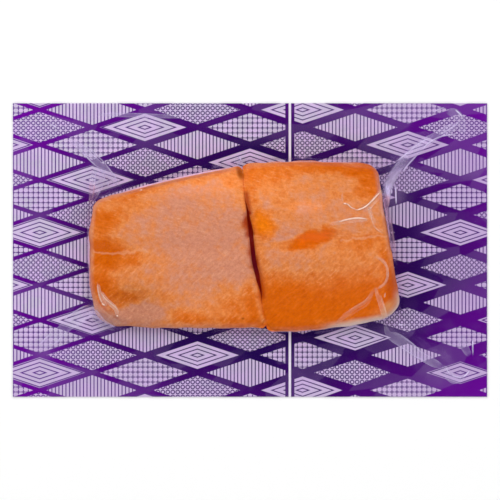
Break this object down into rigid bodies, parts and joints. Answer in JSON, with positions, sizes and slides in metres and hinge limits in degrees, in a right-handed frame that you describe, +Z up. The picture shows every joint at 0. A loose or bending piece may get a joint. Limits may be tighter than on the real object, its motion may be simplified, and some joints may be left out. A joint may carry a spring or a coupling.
{
  "type": "vacuum pack of arctic char fillet",
  "caption": "Flat clear vacuum pack: portions of orange arctic char fillet lie side by side on a printed card under a creased film.",
  "frame": {"origin": "middle of the card's underside, on the surface that the pack lies on", "axes": "+X along the card's long side towards the head portion, +Y along its short side towards the fillet's back, +Z up out of the shown side"},
  "size_m": [0.257, 0.159, 0.0233],
  "materials": {
    "printed_card": "smooth coated card, printed in purple and dark indigo on silvery lilac",
    "fish_flesh": "moist orange fish flesh with fine slanting fibres",
    "clear_film": "clear glossy shrunk film with milky creases"
  },
  "bodies": {
    "root": {"backing_card": "printed_card", "tail_portion": "fish_flesh", "head_portion": "fish_flesh", "cover_film": "clear_film"}
  },
  "joints": []
}
